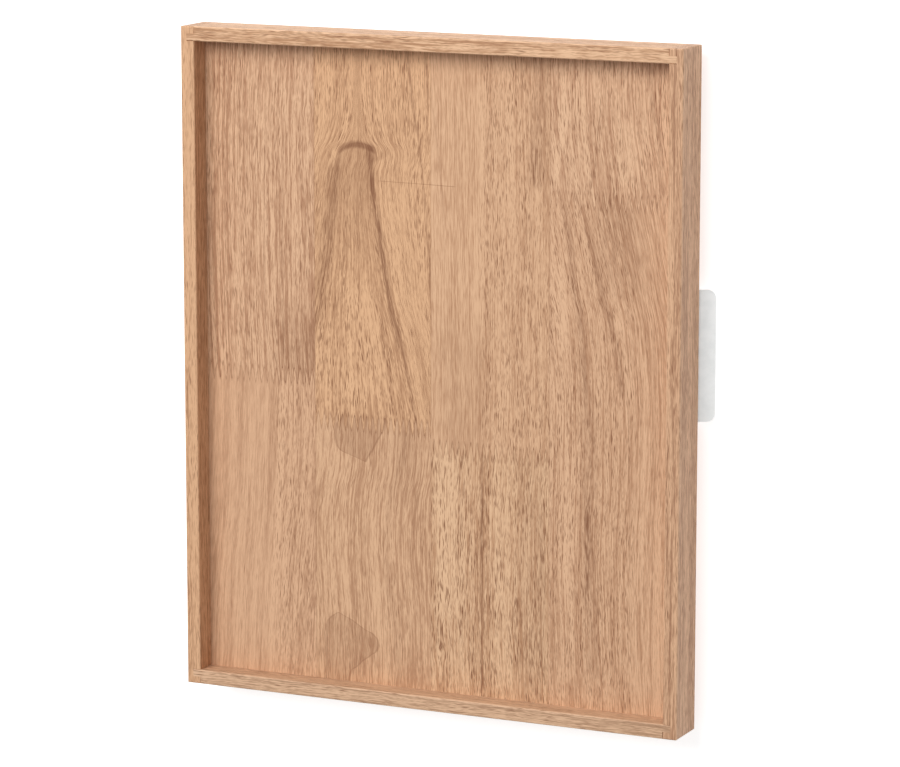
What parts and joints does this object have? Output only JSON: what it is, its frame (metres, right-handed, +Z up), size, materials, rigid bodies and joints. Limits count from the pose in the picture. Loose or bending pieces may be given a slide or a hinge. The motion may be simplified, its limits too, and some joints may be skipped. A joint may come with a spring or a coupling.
{
  "type": "serving tray",
  "caption": "Rectangular wooden serving tray: finger-jointed floor board in a low grooved frame with tongued corners, pale grey bent-steel lip grips at the sides, rubber feet",
  "frame": {"origin": "on the table, under the centre of the tray; the feet stand on z = 0", "axes": "+X across the tray to its right-hand side, +Y along it to the far end, +Z up, out of the recess"},
  "size_m": [0.4218, 0.5, 0.046],
  "materials": {
    "board_wood": "oiled satin, finger-jointed rubberwood-like staves",
    "wall_wood": "oiled satin, solid rubberwood-like strips",
    "grip_coat": "pale grey powder coat, satin",
    "screw_steel": "zinc-plated",
    "foot_rubber": "matt moulded rubber"
  },
  "bodies": {
    "root": {"stave_1_far": "board_wood", "stave_1_near": "board_wood", "stave_2_far": "board_wood", "stave_2_near": "board_wood", "stave_3_far": "board_wood", "stave_3_near": "board_wood", "stave_4_far": "board_wood", "stave_4_near": "board_wood", "left_wall": "wall_wood", "right_wall": "wall_wood", "far_end_wall": "wall_wood", "near_end_wall": "wall_wood", "left_grip": "grip_coat", "right_grip": "grip_coat", "grip_screws": "screw_steel", "far_left_foot": "foot_rubber", "far_right_foot": "foot_rubber", "near_left_foot": "foot_rubber", "near_right_foot": "foot_rubber", "foot_washers": "screw_steel", "foot_screws": "screw_steel"}
  },
  "joints": []
}
